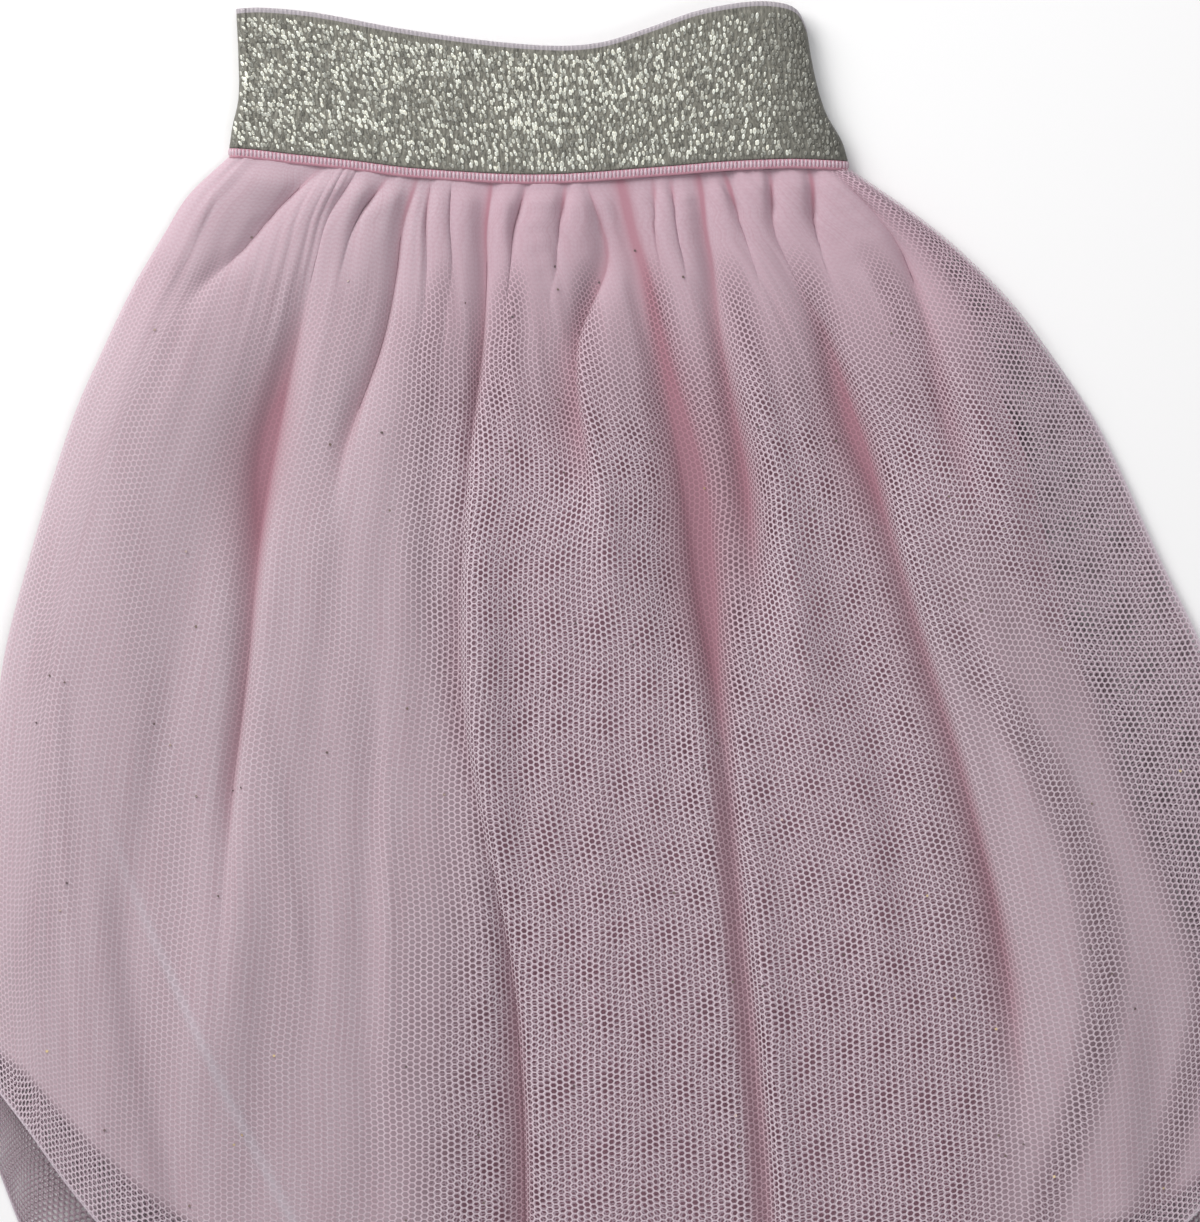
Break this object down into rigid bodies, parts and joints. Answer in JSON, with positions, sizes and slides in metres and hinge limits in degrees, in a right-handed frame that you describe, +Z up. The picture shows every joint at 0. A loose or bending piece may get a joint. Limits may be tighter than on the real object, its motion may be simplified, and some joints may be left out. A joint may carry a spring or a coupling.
{
  "type": "child's gathered tulle skirt with glitter elastic waistband, laid flat",
  "caption": "Pull-on gathered net skirt over an opaque lining, with a wide glitter elastic waistband, lying flat with soft standing folds.",
  "frame": {"origin": "under the middle of the waistband, on the surface the skirt lies on", "axes": "+X across the skirt to the right of the picture, +Y towards the top edge of the waistband with the skirt spreading to -Y, +Z up from the surface"},
  "size_m": [0.3376, 0.3464, 0.0211],
  "materials": {
    "glitter_elastic": "woven elastic with champagne metallic loops",
    "pink_edging": "small matt picot loops",
    "pink_net": "sheer soft hexagonal net",
    "pink_lining": "smooth opaque lining with a faint sheen"
  },
  "bodies": {
    "root": {"waistband": "glitter_elastic", "waist_edging": "pink_edging", "net_front": "pink_net", "net_back": "pink_net", "lining_front": "pink_lining", "lining_back": "pink_lining"}
  },
  "joints": []
}
